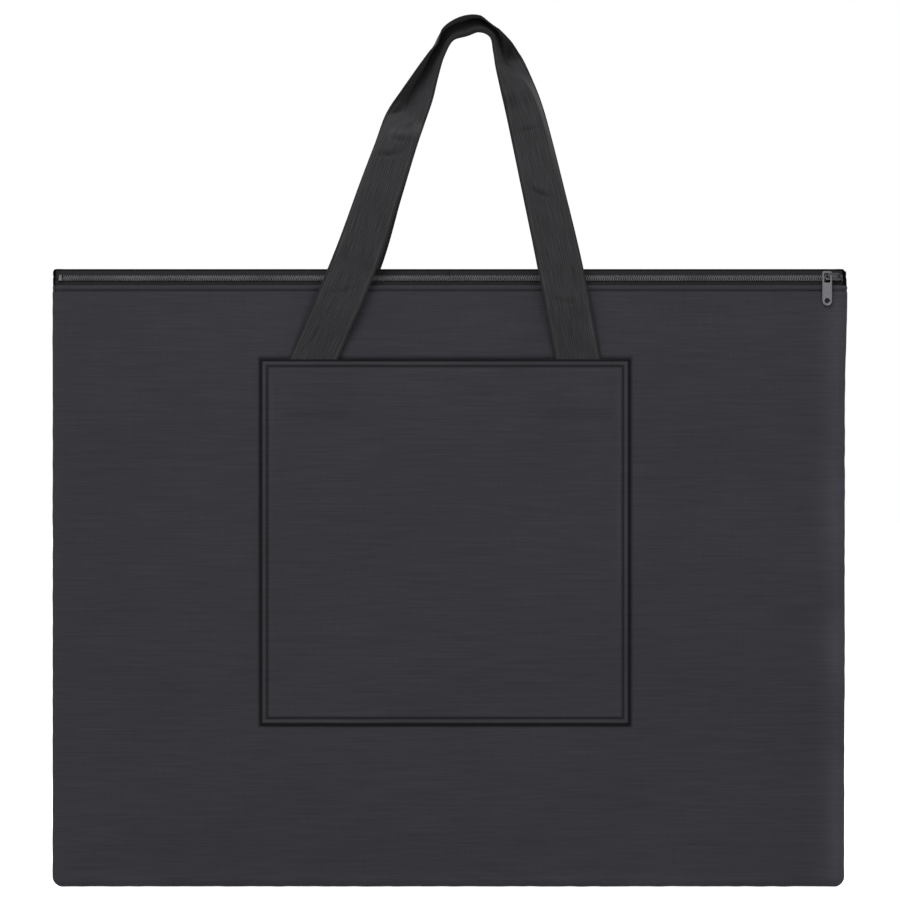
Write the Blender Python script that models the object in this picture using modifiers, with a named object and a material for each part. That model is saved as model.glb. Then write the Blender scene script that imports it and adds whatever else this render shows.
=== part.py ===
"""A flat zipped portfolio case with a patch pocket and two webbing handles.

Metres, +Z up, front towards -Y, origin at the middle of the bottom edge.
The case is two shallow trays of cloth that meet at a seam in the plane Y = 0.
The zip lies in a plane that leans back from the front tray's top to the back tray's top.
"""

import math

import bmesh
import bpy
from mathutils import Matrix, Vector

# Case
WIDTH = 0.660
HEIGHT = 0.514
DEPTH = 0.0174
CLOTH = 0.0010
GAP = 0.0003
ROLL_RADIUS = 0.005
CORNER_RADIUS = 0.009
TOP_CORNER_RADIUS = 0.003
FRONT_DROP = 0.0131
FRONT_LIP = 0.0016
BACK_LIP_EDGE = 0.0004
MOUTH_CUT = 0.0030
ROLL_SEGMENTS = 4
SMALL_SEGMENTS = 2

# Layers inside each tray
BOARD = 0.0016
LINING = 0.0006
BOARD_INSET = 0.0085
BOARD_DROP = 0.022
LINING_INSET = 0.0040
LINING_DROP = 0.0150
BINDING_DEPTH = 0.006
BINDING_THICKNESS = 0.0016

# Pocket
POCKET_CENTRE_X = -0.0033
POCKET_WIDTH = 0.3075
POCKET_BOTTOM = 0.1346
POCKET_TOP = 0.4388
POCKET_DEPTH = 0.0030
POCKET_SEAM = 0.0060

# Webbing
WEB_WIDTH = 0.038
WEB_THICKNESS = 0.0014
STRAP_END_LENGTH = 0.040
HINGE_RISE = 0.0004
HANDLE_CLEARANCE = 0.0012
ROWS_PER_POINT = 4
TANGENT_STEP = 0.1
FRONT_HINGE_Y = -0.0115
BACK_HINGE_Y = 0.0109

# Zip: a plane through (ZIP_Y, HEIGHT - ZIP_DROP) that leans back by ZIP_LEAN from upright
ZIP_Y = -0.0050
ZIP_DROP = 0.0085
ZIP_LEAN = math.radians(30)
ZIP_LENGTH = 0.6546
COIL_WIDTH = 0.0026
COIL_THICKNESS = 0.0022
COIL_GAP = 0.0008
TAPE_THICKNESS = 0.0005
TAPE_TAIL = 0.0080
TAPE_BEND = -0.0040
CHAIN_INSET = 0.0060
TOP_STOP_LENGTH = 0.0014
BOTTOM_STOP_LENGTH = 0.0030

# Slider, at rest against the right-hand stops
SLIDER_X = 0.3190
SLIDER_LENGTH = 0.0130
SLIDER_WIDTH = 0.0072
WING = 0.0010
BLADE = 0.0005
BAIL_SPAN = 0.0100
BAIL_WIRE = 0.0012
BAIL_RISE = 0.0048
BAIL_CORNER = 0.0014
BAIL_CORNER_STEPS = 3
TAB_WIDTH = 0.0080
TAB_LENGTH = 0.0285
TAB_THICKNESS = 0.0011
TAB_HANG = 0.0106
TAB_Z = HEIGHT - 0.0051
TAB_ABOVE = 0.0029
TAB_SHOULDER = 0.0016
SLOT_HALF_WIDTH = 0.0021
SLOT_ABOVE = 0.0014
SLOT_BELOW = 0.0064
SLOT_RADIUS = 0.0008
HOLE_RADIUS = 0.0018

# Middle line of a handle, in the plane of the case: x, z, width seen from the front.
# It rises from the left end, over the grip, to the right end.
HANDLE_LINE = [
    (-0.1125, POCKET_TOP, 0.0365),
    (-0.0792, 0.5196, 0.0380),
    (-0.0612, 0.5712, 0.0365),
    (-0.0400, 0.6330, 0.0320),
    (-0.0254, 0.6629, 0.0240),
    (-0.0110, 0.6935, 0.0150),
    (0.0040, 0.7125, 0.0150),
    (0.0190, 0.7170, 0.0150),
    (0.0330, 0.7135, 0.0150),
    (0.0442, 0.7004, 0.0170),
    (0.0575, 0.6629, 0.0280),
    (0.0700, 0.6129, 0.0330),
    (0.0796, 0.5712, 0.0350),
    (0.0912, 0.5196, 0.0370),
    (0.1071, POCKET_TOP, 0.0365),
]

# How far each handle stands from the seam plane at a height: z, distance
FRONT_STANCE = [
    (POCKET_TOP, 0.0098),
    (0.480, 0.0146),
    (0.580, 0.0144),
    (0.660, 0.0090),
    (0.720, 0.0050),
]
BACK_STANCE = [
    (POCKET_TOP, 0.0098),
    (0.480, 0.0100),
    (0.580, 0.0100),
    (0.660, 0.0080),
    (0.720, 0.0050),
]


def clear_scene():
    for obj in list(bpy.data.objects):
        bpy.data.objects.remove(obj, do_unlink=True)


def new_collection(name):
    collection = bpy.data.collections.new(name)
    bpy.context.scene.collection.children.link(collection)
    return collection


def material(name, colour, roughness, metallic=0.0):
    mat = bpy.data.materials.new(name)
    mat.use_nodes = True
    shader = mat.node_tree.nodes["Principled BSDF"]
    shader.inputs["Base Color"].default_value = (*colour, 1.0)
    shader.inputs["Roughness"].default_value = roughness
    shader.inputs["Metallic"].default_value = metallic
    return mat


def add_object(name, data, collection, mat=None):
    obj = bpy.data.objects.new(name, data)
    collection.objects.link(obj)
    if mat is not None:
        obj.data.materials.append(mat)
    return obj


def mesh_from(name, bm):
    bmesh.ops.recalc_face_normals(bm, faces=bm.faces)
    mesh = bpy.data.meshes.new(name)
    bm.to_mesh(mesh)
    bm.free()
    return mesh


def block_bmesh(low, high):
    bm = bmesh.new()
    bmesh.ops.create_cube(bm, size=1.0)
    low, high = Vector(low), Vector(high)
    size = high - low
    bmesh.ops.scale(bm, vec=size, verts=bm.verts)
    bmesh.ops.translate(bm, vec=(low + high) / 2, verts=bm.verts)
    return bm


def block(name, low, high, collection, mat=None):
    return add_object(name, mesh_from(name, block_bmesh(low, high)), collection, mat)


def runs_in_y(a, b):
    """True for the ends of an edge that runs from front to back, or for any that differ in y."""
    return abs(a.y - b.y) > TAB_THICKNESS / 2


def round_edges(bm, chosen, radius, segments):
    edges = [edge for edge in bm.edges if chosen(*[vert.co for vert in edge.verts])]
    bmesh.ops.bevel(
        bm,
        geom=edges,
        offset=radius,
        segments=segments,
        profile=0.5,
        affect="EDGES",
        clamp_overlap=True,
    )


def cut(obj, cutter):
    cutter.hide_render = True
    cutter.display_type = "WIRE"
    modifier = obj.modifiers.new("cut_" + cutter.name, "BOOLEAN")
    modifier.operation = "DIFFERENCE"
    modifier.solver = "EXACT"
    modifier.object = cutter


def bevel(obj, width, segments=2):
    modifier = obj.modifiers.new("edges", "BEVEL")
    modifier.width = width
    modifier.segments = segments
    modifier.limit_method = "ANGLE"
    modifier.angle_limit = math.radians(40)


def tray_bmesh(side, inset, top, face_y, rim_y):
    """A block with rolled edges round its outer face. side is -1 for the front, +1 for the back."""
    half = WIDTH / 2 - inset
    low_y, high_y = sorted((side * face_y, side * rim_y))
    bm = block_bmesh((-half, low_y, inset), (half, high_y, top))
    corner = CORNER_RADIUS - inset
    roll = ROLL_RADIUS - inset
    middle = HEIGHT / 2
    round_edges(bm, lambda a, b: runs_in_y(a, b) and a.z < middle, corner, ROLL_SEGMENTS)
    round_edges(
        bm,
        lambda a, b: runs_in_y(a, b) and a.z > middle,
        TOP_CORNER_RADIUS - inset,
        SMALL_SEGMENTS,
    )
    outer = side * face_y
    round_edges(
        bm, lambda a, b: abs(a.y - outer) + abs(b.y - outer) < 1e-6, roll, ROLL_SEGMENTS
    )
    return bm


def tray(name, side, top, parts, cutters, mat):
    face = DEPTH / 2
    shell = mesh_from(name, tray_bmesh(side, 0.0, top, face, GAP / 2))
    obj = add_object(name, shell, parts, mat)
    hollow = mesh_from(
        name + "_hollow", tray_bmesh(side, CLOTH, top - CLOTH, face - CLOTH, -ROLL_RADIUS)
    )
    cut(obj, add_object(name + "_hollow", hollow, cutters))
    return obj


def front_panel(parts, cutters, mat):
    top = HEIGHT - FRONT_DROP
    obj = tray("front_panel", -1, top, parts, cutters, mat)
    half = WIDTH / 2 - CLOTH
    edge = -DEPTH / 2 + FRONT_LIP
    low = (-half, edge, top - MOUTH_CUT)
    high = (half, ROLL_RADIUS, top + CLOTH)
    cut(obj, block("front_mouth", low, high, cutters))


def back_panel(parts, cutters, mat):
    obj = tray("back_panel", 1, HEIGHT, parts, cutters, mat)
    half = WIDTH / 2 - CLOTH
    low = (-half, -CLOTH, HEIGHT - MOUTH_CUT)
    high = (half, BACK_LIP_EDGE, HEIGHT + CLOTH)
    cut(obj, block("back_mouth", low, high, cutters))


def inner_sheet(name, side, outer, inner, inset, top, parts, mat):
    """A flat sheet between two distances from the seam plane."""
    low_y, high_y = sorted((side * outer, side * inner))
    half = WIDTH / 2 - inset
    obj = block(name, (-half, low_y, inset), (half, high_y, top), parts, mat)
    bevel(obj, (outer - inner) / 4, 1)


def boards_and_linings(parts, mats):
    board_outer = DEPTH / 2 - CLOTH - GAP
    board_inner = board_outer - BOARD
    lining_outer = board_inner - GAP
    lining_inner = lining_outer - LINING
    board_top = HEIGHT - BOARD_DROP
    lining_top = HEIGHT - LINING_DROP
    for name, side in (("front", -1), ("back", 1)):
        inner_sheet(
            name + "_board",
            side,
            board_outer,
            board_inner,
            BOARD_INSET,
            board_top,
            parts,
            mats["board"],
        )
        inner_sheet(
            name + "_lining",
            side,
            lining_outer,
            lining_inner,
            LINING_INSET,
            lining_top,
            parts,
            mats["lining"],
        )


def seam_bindings(parts, mat):
    """Tape folded over the raw edges of the seam, inside the case."""
    thick = BINDING_THICKNESS / 2
    start = CLOTH + GAP
    edge = WIDTH / 2 - start
    top = HEIGHT - BOARD_DROP
    lift = start + BINDING_DEPTH + CORNER_RADIUS
    inner = edge - BINDING_DEPTH
    for name, low_x, high_x in (("left", -edge, -inner), ("right", inner, edge)):
        low = (low_x, -thick, lift)
        high = (high_x, thick, top)
        bevel(block("seam_binding_" + name, low, high, parts, mat), thick / 2, 1)
    run = inner - CORNER_RADIUS
    low = (-run, -thick, start)
    high = (run, thick, start + BINDING_DEPTH)
    bevel(block("seam_binding_bottom", low, high, parts, mat), thick / 2, 1)


def pocket(parts, cutters, mat):
    back = -DEPTH / 2 - GAP
    low_x = POCKET_CENTRE_X - POCKET_WIDTH / 2
    high_x = POCKET_CENTRE_X + POCKET_WIDTH / 2
    face = back - POCKET_DEPTH
    low = (low_x, face, POCKET_BOTTOM)
    obj = block("pocket_panel", low, (high_x, back, POCKET_TOP), parts, mat)
    room_low = (low_x + POCKET_SEAM, face + CLOTH, POCKET_BOTTOM + POCKET_SEAM)
    room_high = (high_x - POCKET_SEAM, back + CLOTH, POCKET_TOP + CLOTH)
    cut(obj, block("pocket_room", room_low, room_high, cutters))


def stance_at(stance, height):
    """Straight-line reading of a (z, distance) list."""
    for (z0, d0), (z1, d1) in zip(stance, stance[1:]):
        if height <= z1:
            share = max(0.0, (height - z0) / (z1 - z0))
            return d0 + (d1 - d0) * share
    return stance[-1][1]


def smooth_row(points, position):
    """Catmull-Rom reading of a list of equal-length tuples; position runs from 0 to len - 1."""
    last = len(points) - 1
    index = min(int(position), last - 1)
    t = position - index
    p0 = points[max(index - 1, 0)]
    p1 = points[index]
    p2 = points[index + 1]
    p3 = points[min(index + 2, last)]
    row = []
    for a, b, c, d in zip(p0, p1, p2, p3):
        slope = c - a
        square = 2 * a - 5 * b + 4 * c - d
        cube = 3 * b - a - 3 * c + d
        row.append(b + 0.5 * (slope * t + square * t ** 2 + cube * t ** 3))
    return row


def handle(name, side, stance, hinge_y, parts, mat):
    """A webbing band on HANDLE_LINE, its origin on the line about which it folds down."""
    last = len(HANDLE_LINE) - 1
    rows = ROWS_PER_POINT * last
    origin = Vector((0.0, hinge_y, POCKET_TOP + HINGE_RISE))
    bm = bmesh.new()
    bmesh.ops.create_grid(bm, x_segments=rows, y_segments=2, size=0.5)
    for vert in bm.verts:
        position = (vert.co.x + 0.5) * last
        x, z, width = smooth_row(HANDLE_LINE, position)
        before = smooth_row(HANDLE_LINE, max(position - TANGENT_STEP, 0.0))
        after = smooth_row(HANDLE_LINE, min(position + TANGENT_STEP, last))
        along = Vector((after[0] - before[0], after[1] - before[1])).normalized()
        share = min(1.0, max(0.0, (z - POCKET_TOP) / WEB_WIDTH))
        level = Vector((math.copysign(1.0, along.y), 0.0))
        across = Vector((along.y, -along.x)) * share + level * (1 - share)
        across.normalize()
        offset = across * width * vert.co.y
        z_here = max(z + offset.y, POCKET_TOP) + HANDLE_CLEARANCE
        vert.co = Vector((x + offset.x, side * stance_at(stance, z_here), z_here)) - origin
    obj = add_object(name, mesh_from(name, bm), parts, mat)
    obj.location = origin
    solid = obj.modifiers.new("thickness", "SOLIDIFY")
    solid.thickness = WEB_THICKNESS
    solid.offset = 0.0
    obj.data.shade_smooth()
    obj.data.set_sharp_from_angle(angle=math.radians(40))


def strap_end(name, side, foot, parts, mat):
    """The sewn-down end of a handle, below the line about which the handle folds."""
    x, top, width = foot
    middle = side * (DEPTH / 2 + GAP + WEB_THICKNESS / 2 + GAP / 3)
    low = (x - width / 2, middle - WEB_THICKNESS / 2, top - STRAP_END_LENGTH)
    high = (x + width / 2, middle + WEB_THICKNESS / 2, top)
    obj = block(name, low, high, parts, mat)
    bevel(obj, WEB_THICKNESS / 4, 1)


def zip_point(across, out):
    """World (y, z) of a point in the zip's section: across runs up and back, out runs forward and up."""
    y = ZIP_Y + across * math.sin(ZIP_LEAN) - out * math.cos(ZIP_LEAN)
    z = HEIGHT - ZIP_DROP + across * math.cos(ZIP_LEAN) + out * math.sin(ZIP_LEAN)
    return y, z


def strip_along_x(name, outline, low_x, high_x, parts, mat):
    """A (y, z) outline drawn out along X."""
    curve = bpy.data.curves.new(name, "CURVE")
    curve.dimensions = "2D"
    curve.fill_mode = "BOTH"
    curve.extrude = (high_x - low_x) / 2
    spline = curve.splines.new("POLY")
    spline.points.add(len(outline) - 1)
    for point, (y, z) in zip(spline.points, outline):
        point.co = (y, z, 0.0, 1.0)
    spline.use_cyclic_u = True
    obj = add_object(name, curve, parts, mat)
    obj.rotation_euler = (math.pi / 2, 0.0, math.pi / 2)
    obj.location = ((low_x + high_x) / 2, 0.0, 0.0)
    return obj


def zip_box(low_across, high_across, low_out, high_out):
    return [
        zip_point(low_across, low_out),
        zip_point(high_across, low_out),
        zip_point(high_across, high_out),
        zip_point(low_across, high_out),
    ]


def tapes(parts, mat):
    half = ZIP_LENGTH / 2
    under = -GAP
    below = under - TAPE_THICKNESS
    y_out, z_out = zip_point(TAPE_BEND, under)
    z_in = zip_point(TAPE_BEND, below)[1]
    foot = z_out - TAPE_TAIL
    front = [
        zip_point(-COIL_GAP / 2, below),
        zip_point(-COIL_GAP / 2, under),
        (y_out, z_out),
        (y_out, foot),
        (y_out + TAPE_THICKNESS, foot),
        (y_out + TAPE_THICKNESS, z_in),
    ]
    strip_along_x("zipper_tape_front", front, -half, half, parts, mat)
    roof = HEIGHT - CLOTH - GAP
    rise_out = (roof - zip_point(0.0, under)[1]) / math.cos(ZIP_LEAN)
    rise_in = (roof - TAPE_THICKNESS - zip_point(0.0, below)[1]) / math.cos(ZIP_LEAN)
    y_tail = zip_point(rise_out, under)[0] + TAPE_TAIL / 2
    back = [
        zip_point(COIL_GAP / 2, below),
        zip_point(rise_in, below),
        (y_tail, roof - TAPE_THICKNESS),
        (y_tail, roof),
        zip_point(rise_out, under),
        zip_point(COIL_GAP / 2, under),
    ]
    strip_along_x("zipper_tape_back", back, -half, half, parts, mat)


def coils(parts, mat):
    """The two halves of the chain, as plain bars on either side of the slider's blade."""
    start = CHAIN_INSET - ZIP_LENGTH / 2
    end = SLIDER_X + SLIDER_LENGTH / 2
    inner = COIL_GAP / 2
    outer = inner + COIL_WIDTH
    front = zip_box(-outer, -inner, 0.0, COIL_THICKNESS)
    back = zip_box(inner, outer, 0.0, COIL_THICKNESS)
    strip_along_x("zipper_coil_front", front, start, end, parts, mat)
    strip_along_x("zipper_coil_back", back, start, end, parts, mat)


def stops(parts, mat):
    """A stop on each tape past the closed slider, and one across both tapes at the other end."""
    inner = COIL_GAP / 2
    outer = inner + COIL_WIDTH
    start = SLIDER_X + SLIDER_LENGTH / 2 + GAP
    end = start + TOP_STOP_LENGTH
    front = zip_box(-outer, -inner, 0.0, COIL_THICKNESS)
    back = zip_box(inner, outer, 0.0, COIL_THICKNESS)
    both = zip_box(-outer, outer, 0.0, COIL_THICKNESS)
    strip_along_x("zipper_top_stop_front", front, start, end, parts, mat)
    strip_along_x("zipper_top_stop_back", back, start, end, parts, mat)
    high = CHAIN_INSET - ZIP_LENGTH / 2 - GAP
    strip_along_x("zipper_bottom_stop", both, high - BOTTOM_STOP_LENGTH, high, parts, mat)


def slider_body(parts, mat):
    """Two wings joined by a blade, with a lip down each side of the upper wing, drawn as one section."""
    reach = SLIDER_WIDTH / 2
    coil_edge = COIL_GAP / 2 + COIL_WIDTH + GAP / 3
    blade = BLADE / 2
    top = COIL_THICKNESS + GAP
    low = -2 * GAP - TAPE_THICKNESS
    section = [
        (-reach, top + WING),
        (-reach, GAP),
        (-coil_edge - GAP / 3, GAP),
        (-coil_edge - GAP / 3, top),
        (-blade, top),
        (-blade, low),
        (-reach, low),
        (-reach, low - WING),
        (reach, low - WING),
        (reach, low),
        (blade, low),
        (blade, top),
        (coil_edge + GAP / 3, top),
        (coil_edge + GAP / 3, GAP),
        (reach, GAP),
        (reach, top + WING),
    ]
    outline = [zip_point(across, out) for across, out in section]
    half = SLIDER_LENGTH / 2
    strip_along_x("slider_body", outline, SLIDER_X - half, SLIDER_X + half, parts, mat)


def slider_bail(parts, mat):
    """The bridge on the upper wing that the pull hangs from."""
    foot = COIL_THICKNESS + 2 * GAP + WING
    radius = BAIL_WIRE / 2
    half = BAIL_SPAN / 2
    route = [(-half, 0.0), (-half, BAIL_RISE - BAIL_CORNER)]
    for step in range(1, BAIL_CORNER_STEPS + 1):
        angle = math.pi / 2 * step / BAIL_CORNER_STEPS
        x = -half + BAIL_CORNER * (1 - math.cos(angle))
        out = BAIL_RISE - BAIL_CORNER * (1 - math.sin(angle))
        route.append((x, out))
    route += [(-x, out) for x, out in reversed(route)]
    curve = bpy.data.curves.new("slider_bail", "CURVE")
    curve.dimensions = "3D"
    curve.bevel_depth = radius
    curve.bevel_resolution = 2
    curve.use_fill_caps = True
    spline = curve.splines.new("POLY")
    spline.points.add(len(route) - 1)
    for point, (x, out) in zip(spline.points, route):
        y, z = zip_point(0.0, foot + out)
        point.co = (SLIDER_X + x, y, z, 1.0)
    add_object("slider_bail", curve, parts, mat)


def pull_tab(parts, cutters, mat):
    """A plate with a slot at the top, a hole at the foot and rounded ends, hung on the bail's left leg."""
    hang = Vector((SLIDER_X - BAIL_SPAN / 2, -TAB_HANG, TAB_Z))
    half = TAB_WIDTH / 2
    thick = TAB_THICKNESS / 2
    foot = TAB_ABOVE - TAB_LENGTH
    bm = block_bmesh((-half, -thick, foot), (half, thick, TAB_ABOVE))
    round_edges(bm, lambda a, b: runs_in_y(a, b) and a.z < 0, half * 0.98, 5)
    round_edges(bm, lambda a, b: runs_in_y(a, b) and a.z > 0, TAB_SHOULDER, 3)
    obj = add_object("pull_tab", mesh_from("pull_tab", bm), parts, mat)
    obj.location = hang
    slot_low = (-SLOT_HALF_WIDTH, -TAB_THICKNESS, -SLOT_BELOW)
    slot_bm = block_bmesh(slot_low, (SLOT_HALF_WIDTH, TAB_THICKNESS, SLOT_ABOVE))
    round_edges(slot_bm, runs_in_y, SLOT_RADIUS, SMALL_SEGMENTS)
    slot = add_object("pull_slot", mesh_from("pull_slot", slot_bm), cutters)
    slot.location = hang
    cut(obj, slot)
    hole_bm = bmesh.new()
    bmesh.ops.create_cone(
        hole_bm,
        cap_ends=True,
        segments=16,
        radius1=HOLE_RADIUS,
        radius2=HOLE_RADIUS,
        depth=2 * TAB_THICKNESS,
        matrix=Matrix.Rotation(math.pi / 2, 4, "X"),
    )
    hole = add_object("pull_hole", mesh_from("pull_hole", hole_bm), cutters)
    hole.location = hang + Vector((0.0, 0.0, foot + half))
    cut(obj, hole)


def make_materials():
    return {
        "canvas": material("canvas", (0.040, 0.039, 0.045), 0.85),
        "webbing": material("webbing", (0.034, 0.034, 0.036), 0.7),
        "lining": material("lining", (0.030, 0.030, 0.033), 0.6),
        "board": material("board", (0.30, 0.30, 0.30), 0.8),
        "binding": material("binding", (0.020, 0.020, 0.022), 0.7),
        "tape": material("tape", (0.018, 0.018, 0.020), 0.75),
        "coil": material("coil", (0.030, 0.030, 0.032), 0.35),
        "metal": material("metal", (0.25, 0.25, 0.26), 0.35, 1.0),
    }


def main():
    clear_scene()
    parts = new_collection("portfolio_case")
    cutters = new_collection("cutters")
    mats = make_materials()
    front_panel(parts, cutters, mats["canvas"])
    back_panel(parts, cutters, mats["canvas"])
    boards_and_linings(parts, mats)
    seam_bindings(parts, mats["binding"])
    pocket(parts, cutters, mats["canvas"])
    handle("front_handle", -1, FRONT_STANCE, FRONT_HINGE_Y, parts, mats["webbing"])
    handle("back_handle", 1, BACK_STANCE, BACK_HINGE_Y, parts, mats["webbing"])
    for label, side in (("front", -1), ("back", 1)):
        strap_end(label + "_strap_end_left", side, HANDLE_LINE[0], parts, mats["webbing"])
        strap_end(label + "_strap_end_right", side, HANDLE_LINE[-1], parts, mats["webbing"])
    tapes(parts, mats["tape"])
    coils(parts, mats["coil"])
    stops(parts, mats["metal"])
    slider_body(parts, mats["metal"])
    slider_bail(parts, mats["metal"])
    pull_tab(parts, cutters, mats["metal"])


main()
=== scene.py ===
"""Looks of the portfolio case: its cloth, webbing, zip and threads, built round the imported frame.

Metres, +Z up, front towards -Y. Sizes and places come from the frame's boxes.
"""

import math

import bpy
import numpy as np
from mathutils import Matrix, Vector, noise


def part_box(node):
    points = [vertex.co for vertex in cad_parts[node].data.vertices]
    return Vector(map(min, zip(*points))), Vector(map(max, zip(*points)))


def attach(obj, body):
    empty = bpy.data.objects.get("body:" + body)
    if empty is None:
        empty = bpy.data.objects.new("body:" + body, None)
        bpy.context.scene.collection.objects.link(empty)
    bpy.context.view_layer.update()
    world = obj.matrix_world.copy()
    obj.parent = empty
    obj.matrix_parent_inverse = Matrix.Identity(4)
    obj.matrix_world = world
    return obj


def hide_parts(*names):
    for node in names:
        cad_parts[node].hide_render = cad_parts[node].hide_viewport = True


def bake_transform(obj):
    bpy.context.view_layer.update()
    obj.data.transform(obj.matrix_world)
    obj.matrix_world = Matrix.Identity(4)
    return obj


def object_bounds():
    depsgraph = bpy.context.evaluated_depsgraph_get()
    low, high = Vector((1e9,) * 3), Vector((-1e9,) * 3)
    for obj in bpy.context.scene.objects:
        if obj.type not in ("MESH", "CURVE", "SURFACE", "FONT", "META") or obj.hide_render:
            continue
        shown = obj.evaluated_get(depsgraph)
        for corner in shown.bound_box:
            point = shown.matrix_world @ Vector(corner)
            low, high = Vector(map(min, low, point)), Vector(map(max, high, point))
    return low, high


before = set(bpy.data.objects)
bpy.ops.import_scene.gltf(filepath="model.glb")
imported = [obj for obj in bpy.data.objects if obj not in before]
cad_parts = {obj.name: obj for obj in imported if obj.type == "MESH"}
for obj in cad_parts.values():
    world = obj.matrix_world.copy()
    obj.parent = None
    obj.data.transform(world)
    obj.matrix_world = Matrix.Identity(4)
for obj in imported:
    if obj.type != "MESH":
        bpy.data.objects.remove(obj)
cad_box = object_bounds()
SCENE = bpy.context.scene

# ---- Places read from the frame
front_low, front_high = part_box("front_panel")
pocket_low, pocket_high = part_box("pocket_panel")
HALF = front_high.x
FACE = -front_low.y
FRONT_TOP = front_high.z
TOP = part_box("back_panel")[1].z
POCKET_BASE = -pocket_high.y

# ---- Cloth
ROLL = 0.0085
CELL = 0.003
SLACK_CELL = 0.008
SEAM_PINCH = 0.0009
SEAM_REACH = 0.0014
HEM_FOLD = 0.00075
HEM_TAIL = 0.008
HEM_ROW = 0.0042
STITCH_DENT = 0.00035
BACK_ROOF_ROLL = 0.0022

# ---- Pocket
POCKET_CLOTH = 0.0009
POCKET_SEWN = 0.0012
POCKET_PUFF = 0.0007
POCKET_OVER_STRAP = 0.0019
EDGE_ROW = 0.0013
INNER_ROW = 0.0059

# ---- Webbing
WEB_WIDTH = 0.038
WEB_THICKNESS = 0.0013
RIB_PITCH = 0.0019
RIB_RISE = 0.0001
STRAP_BACK_GAP = 0.0012
STRAP_STEP = 0.0025

# ---- Painted shade
# How dark the painted shade is where a surface's crease value is 1.
CREASE_SHADE_TONE = 0.12

# ---- Thread
THREAD = 0.00042
STITCH = 0.003
STITCH_LENGTH = 0.0026


def smooth(x):
    x = np.clip(x, 0.0, 1.0)
    return x * x * (3 - 2 * x)


def wobble(points, scale, offset=0.0):
    """Smooth noise from -1 to 1 at each row of an array of points."""
    shape = np.shape(points)[:-1]
    flat = np.reshape(points, (-1, 3)) * scale + offset
    return np.array([noise.noise(Vector(p)) for p in flat]).reshape(shape)


def xyz(x, y, z):
    """Points as rows of x, y and z."""
    return np.stack([x, y, z], axis=-1)


def unit(rows):
    return rows / np.maximum(np.linalg.norm(rows, axis=-1, keepdims=True), 1e-6)


def put(thing, **values):
    """Sets several attributes of a Blender thing and gives it back."""
    for key, value in values.items():
        setattr(thing, key, value)
    return thing


def span_of(label, low, high):
    """The whole span for "front", else the half of it on the left or the right."""
    return {"left": (low, 0.0), "right": (0.0, high)}.get(label, (low, high))


# ---- Meshes
def link(obj):
    SCENE.collection.objects.link(obj)


def make_object(name, verts, faces, material, smooth_faces=True):
    mesh = bpy.data.meshes.new(name)
    mesh.from_pydata(np.asarray(verts).reshape(-1, 3).tolist(), [], faces)
    mesh.validate()
    mesh.polygons.foreach_set("use_smooth", [smooth_faces] * len(mesh.polygons))
    obj = bpy.data.objects.new(name, mesh)
    link(obj)
    mesh.materials.append(material)
    return obj


def set_values(obj, attribute, values):
    """Stores one number per vertex, for the material."""
    layer = obj.data.attributes.new(attribute, "FLOAT", "POINT")
    layer.data.foreach_set("value", np.asarray(values, np.float32).ravel())


def grid_faces(rows, columns, flip=False, wrap=False):
    faces = []
    last = columns if wrap else columns - 1
    for r in range(rows - 1):
        for c in range(last):
            d = (c + 1) % columns
            quad = (r * columns + c, r * columns + d, (r + 1) * columns + d, (r + 1) * columns + c)
            faces.append(quad[::-1] if flip else quad)
    return faces


def spread(start, stop, cell):
    return np.linspace(start, stop, max(2, round(abs(stop - start) / cell) + 1))


def tube(path, radius, sides):
    """Vertices and faces of a tube along a path. radius is a number or one per point."""
    path = np.asarray(path, float)
    radius = np.broadcast_to(radius, len(path))
    tangents = unit(np.gradient(path, axis=0))
    start = Vector(tangents[0]).orthogonal().normalized()
    verts = []
    for point, tangent, r in zip(path, tangents, radius):
        t = Vector(tangent)
        start = (start - t * start.dot(t)).normalized()
        other = t.cross(start)
        for k in range(sides):
            angle = 2 * math.pi * k / sides
            verts.append(Vector(point) + (start * math.cos(angle) + other * math.sin(angle)) * r)
    faces = grid_faces(len(path), sides, wrap=True)
    end = (len(path) - 1) * sides
    faces += [tuple(range(sides))[::-1], tuple(range(end, end + sides))]
    return verts, faces


def joined(pieces):
    """Several (vertices, faces) as one."""
    verts, faces = [], []
    for v, f in pieces:
        start = len(verts)
        verts.extend(v)
        faces.extend(tuple(i + start for i in face) for face in f)
    return verts, faces


def evaluated(obj):
    return obj.evaluated_get(bpy.context.evaluated_depsgraph_get())


def modified(obj, kind, **settings):
    """Replaces the mesh by what a modifier makes of it."""
    put(obj.modifiers.new("shape", kind), **settings)
    made = bpy.data.meshes.new_from_object(evaluated(obj))
    obj.modifiers.clear()
    obj.data = made


def solidify(obj, thickness, offset):
    modified(obj, "SOLIDIFY", thickness=thickness, offset=offset)


# ---- Materials
def add_node(mat, kind, inputs=None, **settings):
    node = put(mat.node_tree.nodes.new(kind), **settings)
    for key, value in (inputs or {}).items():
        if isinstance(value, bpy.types.NodeSocket):
            mat.node_tree.links.new(value, node.inputs[key])
        else:
            node.inputs[key].default_value = value
    return node


def new_material(name, colour, roughness, **sockets):
    mat = bpy.data.materials.new(name)
    mat.use_nodes = True
    mat.diffuse_color = (*colour, 1.0)
    shader = mat.node_tree.nodes["Principled BSDF"]
    shader.inputs["Base Color"].default_value = (*colour, 1.0)
    shader.inputs["Roughness"].default_value = roughness
    for key, value in sockets.items():
        shader.inputs[key.replace("_", " ")].default_value = value
    return mat


def coords(mat, scale=(1.0, 1.0, 1.0), attribute=None):
    """The object's coordinates, or a vector stored on its mesh, times a scale."""
    if attribute:
        source = add_node(mat, "ShaderNodeAttribute", attribute_name=attribute).outputs["Vector"]
    else:
        source = add_node(mat, "ShaderNodeTexCoord").outputs["Object"]
    return add_node(mat, "ShaderNodeMapping", {"Vector": source, "Scale": scale}).outputs["Vector"]


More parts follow.
